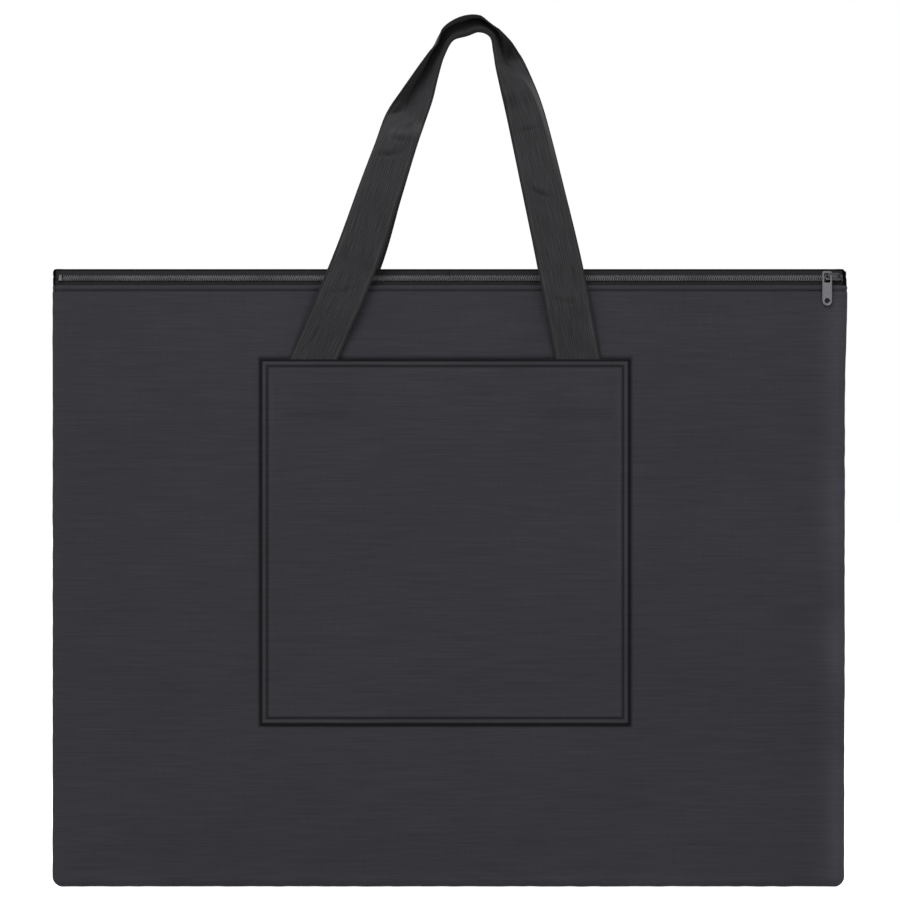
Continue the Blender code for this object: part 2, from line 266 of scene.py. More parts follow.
def noise_of(mat, vector, scale, detail=2.0, roughness=0.5):
    inputs = {"Vector": vector, "Scale": scale, "Detail": detail, "Roughness": roughness}
    return add_node(mat, "ShaderNodeTexNoise", inputs).outputs["Fac"]


def wave_of(mat, vector, direction, scale):
    inputs = {"Vector": vector, "Scale": scale}
    return add_node(mat, "ShaderNodeTexWave", inputs, bands_direction=direction).outputs["Fac"]


def math_of(mat, operation, a, b):
    return add_node(mat, "ShaderNodeMath", {0: a, 1: b}, operation=operation).outputs[0]


def range_of(mat, value, low, high, to_low, to_high):
    inputs = {"Value": value, "From Min": low, "From Max": high, "To Min": to_low, "To Max": to_high}
    return add_node(mat, "ShaderNodeMapRange", inputs).outputs["Result"]


def varied(mat, tone, value, low, high, to_low, to_high):
    """The tone times a value, whose range from low to high is read as to_low to to_high."""
    return math_of(mat, "MULTIPLY", tone, range_of(mat, value, low, high, to_low, to_high))


def stored(mat, attribute):
    """The number that set_values stored on the mesh."""
    return add_node(mat, "ShaderNodeAttribute", attribute_name=attribute).outputs["Fac"]


def scaled_colour(mat, colour, factor):
    """The colour times a factor that varies over the surface."""
    node = add_node(mat, "ShaderNodeVectorMath", {0: colour, "Scale": factor}, operation="SCALE")
    return node.outputs["Vector"]


def bump_of(mat, height, strength, distance, normal=None):
    inputs = {"Height": height, "Strength": strength, "Distance": distance}
    if normal is not None:
        inputs["Normal"] = normal
    return add_node(mat, "ShaderNodeBump", inputs).outputs["Normal"]


def wire_up(mat, colour, roughness, normal):
    shader = mat.node_tree.nodes["Principled BSDF"]
    for key, socket in (("Base Color", colour), ("Roughness", roughness), ("Normal", normal)):
        mat.node_tree.links.new(socket, shader.inputs[key])


def weave(mat, pitch):
    """Height of a plain weave, one thread per pitch each way."""
    scale = math.pi / 10 / (2 * pitch)
    warp, weft = (wave_of(mat, coords(mat), way, scale) for way in "XZ")
    return math_of(mat, "ADD", math_of(mat, "MULTIPLY", warp, weft), math_of(mat, "MULTIPLY", warp, 0.3))


def cloth_material(name, colour, roughness, pitch, slub=0.08, specular=0.15, sheen=0.0):
    """Woven cloth with slubs across and uneven dye, painted shade in creases and painted highlights on its
    rims.
    """
    mat = new_material(name, colour, roughness, Specular_IOR_Level=specular, Sheen_Weight=sheen)
    threads = weave(mat, pitch)
    slubs = noise_of(mat, coords(mat, (22.0, 22.0, 760.0)), 1.0, 3.0, 0.6)
    warps = noise_of(mat, coords(mat, (820.0, 820.0, 40.0)), 1.0, 2.0, 0.5)
    clouds = noise_of(mat, coords(mat), 9.0, 4.0, 0.55)
    tone = range_of(mat, slubs, 0.25, 0.75, 1.0 - slub, 1.0 + slub)
    tone = varied(mat, tone, clouds, 0.3, 0.7, 0.95, 1.05)
    tone = varied(mat, tone, warps, 0.3, 0.7, 0.97, 1.03)
    # Painted shade in creases, seams and stitch grooves, and a patchy painted highlight along the rims.
    tone = varied(mat, tone, stored(mat, "crease"), 0.0, 1.0, 1.0, CREASE_SHADE_TONE)
    patchy_highlight = varied(mat, stored(mat, "painted_highlight"), clouds, 0.35, 0.7, 0.3, 1.0)
    tone = varied(mat, tone, patchy_highlight, 0.0, 1.0, 1.0, 1.65)
    rough = range_of(mat, slubs, 0.25, 0.75, roughness - 0.06, roughness + 0.06)
    fine = bump_of(mat, threads, 0.35, 0.00018)
    coarse = bump_of(mat, math_of(mat, "ADD", slubs, warps), 0.3, 0.00025, fine)
    wire_up(mat, scaled_colour(mat, colour, tone), rough, coarse)
    return mat


def webbing_material():
    """Ribbed webbing: lengthwise ribs, a fine herringbone along them, painted shade at selvedges and
    creases, painted highlights.
    """
    colour = (0.0325, 0.032, 0.0355)
    mat = new_material("webbing", colour, 0.62, Specular_IOR_Level=0.25, Sheen_Weight=0.08)
    along = coords(mat, attribute="strap")
    scale = math.pi / 10 / RIB_PITCH
    ribs = wave_of(mat, along, "X", scale)
    picks = wave_of(mat, along, "DIAGONAL", scale * 1.3)
    fibres = noise_of(mat, coords(mat, (1400.0, 40.0, 1.0), "strap"), 1.0, 3.0, 0.6)
    patches = noise_of(mat, coords(mat, (60.0, 18.0, 1.0), "strap"), 1.0, 3.0, 0.55)
    tone = range_of(mat, fibres, 0.3, 0.7, 0.5, 1.55)
    tone = varied(mat, tone, patches, 0.3, 0.7, 0.88, 1.12)
    tone = varied(mat, tone, ribs, 0.0, 1.0, 0.55, 0.95)
    # Painted shade in creases and along the selvedges, and a painted highlight just inside each edge.
    tone = varied(mat, tone, stored(mat, "crease"), 0.0, 1.0, 1.0, CREASE_SHADE_TONE)
    tone = varied(mat, tone, stored(mat, "painted_highlight"), 0.0, 1.0, 1.0, 1.7)
    fine = bump_of(mat, picks, 0.35, 0.00012)
    coarse = bump_of(mat, fibres, 0.35, 0.00018, fine)
    rough = range_of(mat, patches, 0.3, 0.7, 0.54, 0.7)
    wire_up(mat, scaled_colour(mat, colour, tone), rough, coarse)
    return mat


def plain_material(name, colour, roughness, grain, variation, bump, patches=0.06, **sockets):
    """A material with fine grain and broad patches: thread, coil, board or metal."""
    mat = new_material(name, colour, roughness, **sockets)
    fine = noise_of(mat, coords(mat, grain), 1.0, 3.0, 0.6)
    broad = noise_of(mat, coords(mat), 22.0, 2.0, 0.5)
    tone = range_of(mat, fine, 0.3, 0.7, 1.0 - variation, 1.0 + variation)
    tone = varied(mat, tone, broad, 0.3, 0.7, 1.0 - patches, 1.0 + patches)
    rough = range_of(mat, fine, 0.3, 0.7, roughness - 0.07, roughness + 0.07)
    wire_up(mat, scaled_colour(mat, colour, tone), rough, bump_of(mat, fine, 0.4, bump))
    return mat


def make_materials():
    cloth, plain = cloth_material, plain_material
    thread, coil, board = (3000.0,) * 3, (900.0,) * 3, (500.0,) * 3
    drawn = (300.0, 300.0, 2400.0)
    dark = (0.095, 0.094, 0.1)
    return {
        "canvas": cloth("canvas", (0.04, 0.039, 0.047), 0.85, 0.0008, 0.16, sheen=0.06),
        "lining": cloth("lining", (0.03, 0.03, 0.034), 0.6, 0.0004, specular=0.5),
        "tape": cloth("zip_tape", (0.019, 0.019, 0.021), 0.8, 0.0005),
        "binding": cloth("binding", (0.02, 0.02, 0.023), 0.8, 0.0006, specular=0.2),
        "webbing": webbing_material(),
        "thread": plain("thread", (0.008, 0.008, 0.01), 0.6, thread, 0.25, 5e-5, Specular_IOR_Level=0.2),
        # The coil's strong broad patches are painted shade, as the wavy hem lip would shade it along its
        # length.
        "coil": plain("zip_coil", (0.128, 0.126, 0.134), 0.32, coil, 0.15, 2e-5, 0.3),
        "metal": plain("zip_metal", (0.235, 0.23, 0.25), 0.42, drawn, 0.1, 2e-5, Metallic=1.0),
        "dark_metal": plain("zip_dark_metal", dark, 0.48, drawn, 0.1, 2e-5, Metallic=1.0),
        "board": plain("board", (0.3, 0.3, 0.3), 0.8, board, 0.08, 1e-4),
    }


MATS = make_materials()


def finish_piece(obj, body, slot, *nodes):
    """Hides the CAD nodes that a piece stands for and rides it on a body; its slot is not used.

    "left" and "right" stand for the back, which is sewn to the front along its sides and swings
    free in its middle. None leaves the riding to the caller.
    """
    if nodes:
        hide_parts(*nodes)
    if body in ("left", "right"):
        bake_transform(obj)
    elif body:
        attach(obj, body)


# ---- Slack of the cloth, by simulation
def slack_field(height, held, seed):
    """How far a sewn sheet stands out, over its width and height.

    The sheet is cut a little larger than the board it covers, is held along its seams and where
    held(x, z) is 1, and buckles under a light pressure.
    """
    xs = spread(-HALF, HALF, SLACK_CELL)
    zs = spread(0.0, height, SLACK_CELL)
    x, z = np.meshgrid(xs, zs)
    points = xyz(x, 0 * x, z)
    lumps = wobble(points, 22.0, seed) + 0.5 * wobble(points, 55.0, seed + 7.0)
    rim = np.minimum(HALF - abs(x), np.minimum(z, height - z))
    fade = smooth(rim / 0.03)
    points[:, :, 1] = -0.0006 * lumps * fade
    obj = make_object("slack", points, grid_faces(len(zs), len(xs)), MATS["canvas"])
    group = obj.vertex_groups.new(name="held")
    weight = np.where(rim < SLACK_CELL / 2, 1.0, np.clip(0.02 + held(x, z), 0.0, 1.0)).ravel()
    for index, value in enumerate(weight):
        group.add([index], float(value), "REPLACE")
    settings = put(
        obj.modifiers.new("slack", "CLOTH").settings,
        quality=6,
        mass=0.25,
        tension_stiffness=20,
        compression_stiffness=20,
        shear_stiffness=8,
        bending_stiffness=6.0,
        shrink_min=-0.004,
        vertex_group_mass="held",
        use_pressure=True,
        uniform_pressure_force=0.4,
    )
    settings.effector_weights.gravity = 0.0
    for step in range(1, 21):
        SCENE.frame_set(step)
    out = np.zeros(points.size)
    evaluated(obj).data.vertices.foreach_get("co", out)
    field = -out.reshape(points.shape)[:, :, 1]
    bpy.data.meshes.remove(obj.data)
    SCENE.frame_set(1)
    return xs, zs, field


def blurred(field, times):
    """A field with its sharpest ripples evened out, down and across by turns."""
    for _ in range(2 * times):
        padded = np.pad(field, ((1, 1), (0, 0)), mode="edge")
        field = ((padded[:-2] + 2 * padded[1:-1] + padded[2:]) / 4).T
    return field


def read_field(sheet, x, z):
    """A (xs, zs, field) sheet read at points, linearly between its own."""
    xs, zs, field = sheet
    column = np.clip((x - xs[0]) / (xs[1] - xs[0]), 0, len(xs) - 1.001)
    row = np.clip((z - zs[0]) / (zs[1] - zs[0]), 0, len(zs) - 1.001)
    c, r = column.astype(int), row.astype(int)
    u, v = column - c, row - r
    low = field[r, c] * (1 - u) + field[r, c + 1] * u
    high = field[r + 1, c] * (1 - u) + field[r + 1, c + 1] * u
    return low * (1 - v) + high * v


def dent(distance, width):
    """1 on a line of stitches, falling to 0 beside it."""
    return np.exp(-((distance / width) ** 2))


# ---- The case's two cloth trays
def pocket_outline(x, z):
    """Distance inside the pocket's edge."""
    across = np.minimum(x - pocket_low.x, pocket_high.x - x)
    return np.minimum(across, np.minimum(z - pocket_low.z, pocket_high.z - z))


def inside_pocket(x, z, margin):
    """0 outside the pocket's outline, 1 at margin inside it."""
    return smooth(pocket_outline(x, z) / margin)


def finer(line, places):
    """A row of positions with more of them beside some places."""
    beside = [place + step for place in places for step in (-0.0024, -0.0012, 0.0, 0.001)]
    kept = [v for v in line if min(abs(v - b) for b in beside) > 0.0007]
    return np.array(sorted(kept + beside))


def tray_columns(low, high, side):
    """Where the columns of a tray's cloth stand: core x, and share of the roll from -1 to 1."""
    flat = HALF - ROLL
    roll = np.cos(np.linspace(0, math.pi / 2, 9)[:-1])
    middle = spread(max(low, -flat), min(high, flat), CELL)
    if side < 0:
        middle = finer(middle, (pocket_low.x, pocket_high.x))
    columns = [(-flat, -share) for share in roll] if low < 0 else []
    columns += [(x, 0.0) for x in middle]
    columns += [(flat, share) for share in roll[::-1]] if high > 0 else []
    return np.array(columns).T


def tray_rows(side):
    """Where the rows stand: core z, share of the bottom roll, and how far they turn in at the top."""
    angles = np.linspace(0, math.pi / 2, 9)
    rows = [(ROLL, math.cos(a), 0.0) for a in angles[:-1]]
    crown = FRONT_TOP - HEM_FOLD if side < 0 else TOP - BACK_ROOF_ROLL
    face = spread(ROLL, crown - 0.012, CELL)
    if side < 0:
        face = finer(face, (pocket_low.z, pocket_high.z))
    rows += [(z, 0.0, 0.0) for z in (*face, *spread(crown - 0.0115, crown, 0.0007))]
    if side < 0:
        for angle in np.linspace(0, math.pi, 7)[1:]:
            rows.append((crown + HEM_FOLD * math.sin(angle), 0.0, HEM_FOLD * (1 - math.cos(angle))))
        rows += [(z, 0.0, 2 * HEM_FOLD) for z in spread(crown, crown - HEM_TAIL, 0.002)[1:]]
        return np.array(rows)
    for angle in np.linspace(0, math.pi / 2, 6)[1:]:
        rise = BACK_ROOF_ROLL * math.sin(angle)
        rows.append((crown + rise, 0.0, BACK_ROOF_ROLL * (1 - math.cos(angle))))
    reach = FACE - 2 * HEM_FOLD
    rows += [(TOP, 0.0, q) for q in spread(BACK_ROOF_ROLL, reach, 0.0012)[1:]]
    for angle in np.linspace(0, math.pi, 5)[1:]:
        z = TOP - HEM_FOLD / 2 * (1 - math.cos(angle))
        rows.append((z, 0.0, reach + HEM_FOLD / 2 * math.sin(angle)))
    rows += [(TOP - HEM_FOLD, 0.0, q) for q in spread(reach, BACK_ROOF_ROLL + 0.001, 0.002)[1:]]
    return np.array(rows)


def tray_cloth(name, side, low, high, slack):
    """One sheet of cloth from the seam, round the rolled edge, over the face and into the top hem."""
    core_x, share_x = tray_columns(low, high, side)
    rows = tray_rows(side)
    a, b = np.meshgrid(share_x, rows[:, 1])
    cx, cz = np.meshgrid(core_x, rows[:, 0])
    turn = np.meshgrid(core_x, rows[:, 2])[1]
    across = a * np.sqrt(1 - b * b / 2)
    down = b * np.sqrt(1 - a * a / 2)
    bulge = np.sqrt(np.clip(1 - across**2 - down**2, 0, 1))
    x, y, z = cx + ROLL * across, side * FACE * bulge, cz - ROLL * down
    normal = unit(xyz(across, side * bulge, -down))
    points = xyz(x, y, z) - unit(xyz(across, side * bulge, 0 * a)) * turn[:, :, None]
    # Puckers of the seam and of the hem, and the slack of the face.
    on_face = turn < 1e-6
    seam = abs(y)
    pinch = SEAM_PINCH * np.exp(-seam / SEAM_REACH)
    ripples = wobble(xyz(x * 0.3, 0 * y, z) + xyz(0 * x, 0 * y, x), 95.0, side * 5.0)
    rim = np.minimum(HALF - abs(x), z)
    row = FRONT_TOP - HEM_ROW if side < 0 else TOP - (HEM_ROW + BACK_ROOF_ROLL)
    hem = dent(z - row, 0.0011)
    free = smooth((row - z) / 0.05) * smooth(rim / 0.05)
    if side < 0:
        free = free * (1 - inside_pocket(x, z, 0.012))
    out = read_field(slack, x, z) * free + 0.0003 * ripples * dent(rim, 0.013) * (1 - hem)
    out += 0.00012 * wobble(points, 160.0, 11.0) * dent(z - row, 0.012)
    out -= STITCH_DENT * hem
    # The seams stand a little proud, most of all by the zip's open end, and the right side draws
    # in lower down. The board's edge shows through on the right.
    out += 0.0006 * dent(seam - 0.004, 0.003) * smooth(rim / 0.001 + 1.0)
    lower = 0.0006 * smooth((0.46 - z) / 0.06) + 0.0005 * smooth((0.2 - z) / 0.12)
    out += (0.0016 * dent(z - 0.485, 0.04) - lower) * np.clip(across, 0, 1)
    out += 0.0003 * (dent(x - HALF + 0.0085, 0.004) - dent(x - HALF + 0.026, 0.01)) * (z > ROLL)
    pocket_edge = 0 * x
    if side < 0:
        pocket_edge = dent(pocket_outline(x, z), 0.0012)
        out -= 0.0002 * pocket_edge
    points += normal * ((out * on_face - pinch)[:, :, None])
    # Painted shade along the hem's stitch row, in the seam's gap and round the pocket's edge.
    crease = np.clip(0.55 * hem * on_face + 0.9 * np.exp(-seam / 0.0009) + 0.95 * pocket_edge, 0, 1)
    # Painted highlight along the right side most of all, a little along the bottom and the left.
    painted_highlight = np.maximum(0.95 * dent(HALF - x - 0.004, 0.013), 0.55 * dent(z - 0.004, 0.005))
    painted_highlight = np.maximum(painted_highlight, 0.1 * dent(HALF + x - 0.004, 0.005)) * (bulge > 0.2)
    faces = grid_faces(len(rows), len(core_x), flip=side > 0)
    obj = make_object(name, points, faces, MATS["canvas"])
    set_values(obj, "crease", crease)
    set_values(obj, "painted_highlight", painted_highlight)
    return obj


def case_cloth():
    front = slack_field(FRONT_TOP, lambda x, z: inside_pocket(x, z, 0.01), 3.0)
    back = slack_field(TOP, lambda x, z: 0.0 * x, 41.0)
    sheets = []
    for xs, zs, field in (front, back):
        field = blurred(field, 2)
        field = 0.0019 * field / max(1e-6, field.max())
        sheets.append((xs, zs, np.maximum(field, -0.0002)))
    front_cloth = tray_cloth("front_cloth", -1, -HALF, HALF, sheets[0])
    finish_piece(front_cloth, "front", "canvas", "front_panel")
    for label in ("left", "right"):
        cloth = tray_cloth("back_cloth_" + label, 1, *span_of(label, -HALF, HALF), sheets[1])
        finish_piece(cloth, label, "canvas", "back_panel")


# ---- Pocket
def pocket_surface(x, z):
    """How far the pocket's outer face stands from the seam plane."""
    d = pocket_outline(x, z)
    edge = np.sqrt(np.clip(1 - (1 - np.clip(d / 0.0009, 0, 1)) ** 2, 0, 1))
    height = POCKET_SEWN * (0.25 + 0.75 * edge) + POCKET_PUFF * smooth((d - INNER_ROW) / 0.03)
    strap = 0 * x
    for name in ("front_strap_end_left", "front_strap_end_right"):
        low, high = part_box(name)
        middle, half = (low.x + high.x) / 2, (high.x - low.x) / 2 + 0.004
        beside = smooth((half + 0.01 - abs(x - middle)) / 0.01)
        strap = np.maximum(strap, beside * smooth((z - low.z + 0.012) / 0.012))
    height = height + POCKET_OVER_STRAP * strap * edge
    points = xyz(x, 0 * x, z)
    height = height + 0.0004 * wobble(points, 14.0, 21.0) * smooth((d - INNER_ROW) / 0.02)
    height = height + 0.00012 * wobble(points, 120.0, 31.0) * dent(d - INNER_ROW, 0.008)
    height = height - 0.00045 * dent(d - EDGE_ROW, 0.0006) - 0.00055 * dent(d - INNER_ROW, 0.0009)
    return POCKET_BASE + height


def fine_line(low, high):
    """Places along a side of the pocket, close together near both edges."""
    near = [0.0, 0.0002, 0.0005, 0.0009, 0.0013, 0.0018, 0.0025, 0.0034, 0.0042, 0.0049]
    near += [0.0056, 0.0063, 0.007, 0.0081, 0.0098, 0.012, 0.0145]
    middle = spread(low + 0.0175, high - 0.0175, CELL)
    return np.concatenate([low + np.array(near), middle, high - np.array(near)[::-1]])


def pocket_cloth():
    xs = fine_line(pocket_low.x, pocket_high.x)
    zs = fine_line(pocket_low.z, pocket_high.z)
    x, z = np.meshgrid(xs, zs)
    points = xyz(x, -pocket_surface(x, z), z)
    obj = make_object("pocket_cloth", points, grid_faces(len(zs), len(xs)), MATS["canvas"])
    d = pocket_outline(x, z)
    # Painted shade at the pocket's edge and in the inner stitch groove; painted highlights on the strip
    # between the rows and where the pocket rounds just inside the inner row.
    crease = smooth((0.0027 - d) / 0.0012) + 0.72 * dent(d - INNER_ROW, 0.0013)
    set_values(obj, "crease", np.clip(crease, 0, 1))
    set_values(obj, "painted_highlight", 0.32 * dent(d - 0.004, 0.0016) + 0.18 * dent(d - INNER_ROW - 0.0028, 0.0016))
    solidify(obj, POCKET_CLOTH, -1.0)
    finish_piece(obj, "front", "canvas", "pocket_panel")


# ---- Threads
def stitches(name, rows):
    """Rows of single stitches. A row is (points along it, outward directions at them)."""
    pieces = []
    for path, outward in rows:
        steps = np.linalg.norm(np.diff(path, axis=0), axis=1)
        place = np.concatenate([[0], np.cumsum(steps)])
        count = int(place[-1] / STITCH)
        for index in range(count):
            start = (index + 0.5) * place[-1] / count - STITCH_LENGTH / 2
            at = start + STITCH_LENGTH * np.array([0.0, 0.12, 0.5, 0.88, 1.0])
            lift = THREAD * np.array([-0.9, 0.05, 0.4, 0.05, -0.9])
            middle = np.stack([np.interp(at, place, path[:, k]) for k in range(3)], axis=1)
            direction = np.stack([np.interp(at, place, outward[:, k]) for k in range(3)], axis=1)
            pieces.append(tube(middle + direction * lift[:, None], THREAD / 2, 5))
    verts, faces = joined(pieces)
    return make_object(name, verts, faces, MATS["thread"])


def straight_row(start, end, surface, outward):
    """A row of points between two (x, z) corners, on a surface given as a function of x and z."""
    count = max(2, int(math.dist(start, end) / 0.002))
    x = np.linspace(start[0], end[0], count)
    z = np.linspace(start[1], end[1], count)
    return xyz(x, surface(x, z), z), np.tile(outward, (count, 1))


def pocket_threads():
    for label, inset in (("edge", EDGE_ROW), ("inner", INNER_ROW)):
        low_x, high_x = pocket_low.x + inset, pocket_high.x - inset
        low_z, high_z = pocket_low.z + inset, pocket_high.z - inset
        corners = [(low_x, high_z), (low_x, low_z), (high_x, low_z), (high_x, high_z), (low_x, high_z)]
        rows = [
            straight_row(a, b, lambda x, z: -pocket_surface(x, z), (0, -1, 0))
            for a, b in zip(corners, corners[1:])
        ]
        finish_piece(stitches("pocket_thread_" + label, rows), "front", "canvas")


def hem_threads():
    reach = HALF - ROLL
    z = FRONT_TOP - HEM_ROW
    row = straight_row((-reach, z), (reach, z), lambda x, z: 0 * x - FACE + STITCH_DENT, (0, -1, 0))
    finish_piece(stitches("front_hem_thread", [row]), "front", "canvas")
    z = TOP - HEM_ROW - BACK_ROOF_ROLL
    for label in ("left", "right"):
        low, high = span_of(label, -reach, reach)
        row = straight_row((low, z), (high, z), lambda x, z: 0 * x + FACE - STITCH_DENT, (0, 1, 0))
        finish_piece(stitches("back_hem_thread_" + label, [row]), label, "canvas")


# ---- Zip
COIL_HEIGHT = 0.0022
COIL_PITCH = 0.0015
COIL_WIRE = 0.00033
# One turn of a coil: share of the pitch, distance from the middle, height over the tape.
COIL_TURN = [
    (0.0, 0.0024, 0.00055),
    (0.12, 0.0024, 0.00145),
    (0.28, 0.0018, 0.00205),
    (0.5, 0.0004, 0.0021),
    (0.6, -0.00045, 0.00155),
    (0.67, -0.00045, 0.00085),
    (0.76, 0.0004, 0.0004),
    (0.92, 0.0018, 0.00036),
]
TAPE_UNDER = -0.0003
TAPE_THICKNESS = 0.00045
TAPE_BEND = -0.004
TAPE_TAIL = 0.008
TAPE_ROOF = 0.0014

coil_front_low, coil_front_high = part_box("zipper_coil_front")
coil_back_low, coil_back_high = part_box("zipper_coil_back")
front_middle = (coil_front_low + coil_front_high) / 2
back_middle = (coil_back_low + coil_back_high) / 2
ACROSS = (back_middle - front_middle).normalized()
OUT = Vector((0.0, -ACROSS.z, ACROSS.y))
ZIP_MIDDLE = (front_middle + back_middle) / 2 - OUT * (COIL_HEIGHT / 2)


def zip_point(x, across, out):
    """A point by its place along the zip, across it (up and back) and out of it (forward and up)."""
    place = ZIP_MIDDLE + ACROSS * across + OUT * out
    return Vector((x, place.y, place.z))


def coil(name, side, low, high):
    turns = int((high - low) / COIL_PITCH)
    start = low + (COIL_PITCH / 2 if side > 0 else 0.0)
    path = []
    for turn in range(turns):
        for share, away, height in COIL_TURN:
            path.append(zip_point(start + (turn + share) * COIL_PITCH, side * away, height))
    verts, faces = tube(path, COIL_WIRE, 5)
    return make_object(name, verts, faces, MATS["coil"])


def tape(name, side, low, high):
    """Woven tape: under the coil, then into the case behind the cloth's hem."""
    if side < 0:
        section = [zip_point(0, a, TAPE_UNDER) for a in np.linspace(-0.0003, TAPE_BEND, 6)]
        foot = section[-1]
        section += [foot + Vector((0, 0, -drop)) for drop in (0.0008, 0.003, 0.0055, TAPE_TAIL)]
    else:
        rise = (TOP - TAPE_ROOF - zip_point(0, 0, TAPE_UNDER).z) / ACROSS.z
        section = [zip_point(0, a, TAPE_UNDER) for a in np.linspace(0.0003, rise, 6)]
        roof = section[-1]
        section += [roof + Vector((0, reach, 0)) for reach in (0.0006, 0.0015, 0.0025, 0.0035)]
    xs = spread(low, high, 0.004)
    points = np.array([[(x, p.y, p.z) for x in xs] for p in section])
    points[:, :, 1] += 0.0001 * wobble(points, 60.0, side * 3.0)
    obj = make_object(name, points, grid_faces(len(section), len(xs), flip=side < 0), MATS["tape"])
    solidify(obj, TAPE_THICKNESS, -1.0)
    return obj


def zip_chain():
    tape_low, tape_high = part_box("zipper_tape_front")
    for label, half, side in (("front", "front", -1), ("left", "back_left", 1), ("right", "back_right", 1)):
        node = half.split("_")[0]
        piece = coil("coil_" + half, side, *span_of(label, coil_front_low.x, coil_front_high.x))
        finish_piece(piece, label, "zip_coil", "zipper_coil_" + node)
        piece = tape("tape_" + half, side, *span_of(label, tape_low.x, tape_high.x))
        finish_piece(piece, label, "zip_tape", "zipper_tape_" + node)


def prism(outline, place, low, high):
    """Vertices and faces of an outline drawn out; place turns (u, v, height) into a point."""
    count = len(outline)
    verts = [place(u, v, low) for u, v in outline] + [place(u, v, high) for u, v in outline]
    faces = [tuple(range(count)), tuple(reversed(range(count, 2 * count)))]
    for k in range(count):
        n = (k + 1) % count
        faces.append((k, k + count, n + count, n))
    return verts, faces


def smoothed(obj, sharp):
    """Shades a piece smooth, apart from edges that turn more than sharp degrees."""
    obj.data.polygons.foreach_set("use_smooth", [True] * len(obj.data.polygons))
    obj.data.set_sharp_from_angle(angle=math.radians(sharp))
    return obj


def metal_piece(name, parts, bevel, segments=2):
    obj = make_object(name, *joined(parts), MATS["dark_metal"], smooth_faces=False)
    limit = {"limit_method": "ANGLE", "angle_limit": math.radians(35)}
    modified(obj, "BEVEL", width=bevel, segments=segments, **limit)
    return smoothed(obj, 50)


def slider():
    """Upper and lower wings shaped like a shield, lips round the upper one, and the wedge between them."""
    low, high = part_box("slider_body")
    middle, half = (low.x + high.x) / 2, (high.x - low.x) / 2

    def place(u, v, height):
        return zip_point(middle + u, v, height)

    shield = [(-1.0, 0.45), (-0.86, 0.8), (-0.1, 0.88), (0.5, 1.0), (0.86, 0.96), (1.0, 0.62), (0.92, 0.0)]
    reach = 0.0036
    outline = [(u * half, v * reach) for u, v in shield]
    outline += [(u * half, -v * reach) for u, v in reversed(shield[:-1])]
    top = COIL_HEIGHT + 0.0003
    parts = [prism(outline, place, top, top + 0.001), prism(outline, place, -0.0021, -0.0011)]
    for sign in (-1, 1):
        lip = [(-0.8, 0.8), (-0.1, 0.87), (0.5, 0.97), (0.8, 0.95), (0.8, 0.86), (0.5, 0.88), (-0.8, 0.73)]
        edge = [(u * half, sign * v * reach) for u, v in lip]
        parts.append(prism(edge if sign > 0 else edge[::-1], place, 0.0004, top))
    blade = 0.00022
    wedge = [(0.0008, 0.0), (0.003, blade), (half * 0.9, blade), (half * 0.9, -blade), (0.003, -blade)]
    parts.append(prism(wedge, place, -0.0011, top))
    finish_piece(metal_piece("slider_shell", parts, 0.00025), "slider", "zip_metal", "slider_body")
    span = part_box("slider_bail")
    half_span = (span[1].x - span[0].x) / 2 - 0.0006
    foot, rise, corner = top + 0.0008, 0.005, 0.002
    path = [(-half_span, foot - 0.0004), (-half_span, foot + rise - corner)]
    for angle in np.linspace(0, math.pi / 2, 7)[1:]:
        u, drop = corner * (1 - math.cos(angle)), corner * (1 - math.sin(angle))
        path.append((-half_span + u, foot + rise - drop))
    path += [(-u, height) for u, height in reversed(path)]
    points = [zip_point(middle + u, 0.0, height) for u, height in path]
    swell = [0.00085 if height < foot + 0.0002 else 0.0006 for _, height in path]
    bail = make_object("slider_bridge", *tube(points, swell, 10), MATS["dark_metal"])
    finish_piece(bail, "slider", "zip_metal", "slider_bail")


def rounded_outline(low, high, radius, steps=6):
    """(x, z) points round a rectangle with rounded corners; radius is (bottom, top)."""
    corners = [
        (low[0], low[1], radius[0], 180),
        (high[0], low[1], radius[0], 270),
        (high[0], high[1], radius[1], 0),
        (low[0], high[1], radius[1], 90),
    ]
    points = []
    for x, z, r, start in corners:
        centre = (x + (r if x == low[0] else -r), z + (r if z == low[1] else -r))
        for step in range(steps + 1):
            angle = math.radians(start + 90 * step / steps)
            points.append((centre[0] + r * math.cos(angle), centre[1] + r * math.sin(angle)))
    return points


def flat_plate(name, outlines, y, half_thickness, bevel):
    """A plate in the plane of the case: the first outline with the others as holes."""
    curve = put(bpy.data.curves.new(name, "CURVE"), dimensions="2D", fill_mode="BOTH")
    put(curve, extrude=half_thickness - bevel, bevel_depth=bevel, bevel_resolution=2, offset=-bevel)
    for outline in outlines:
        spline = curve.splines.new("POLY")
        spline.points.add(len(outline) - 1)
        for point, (x, z) in zip(spline.points, outline):
            point.co = (x, z, 0.0, 1.0)
        spline.use_cyclic_u = True
    source = bpy.data.objects.new(name, curve)
    put(source, rotation_euler=(math.pi / 2, 0, 0), location=(0, y, 0))
    link(source)
    bpy.context.view_layer.update()
    mesh = bpy.data.meshes.new_from_object(evaluated(source))
    mesh.transform(source.matrix_world)
    bpy.data.objects.remove(source)
    obj = bpy.data.objects.new(name, mesh)
    link(obj)
    mesh.materials.clear()
    mesh.materials.append(MATS["metal"])
    return smoothed(obj, 40)


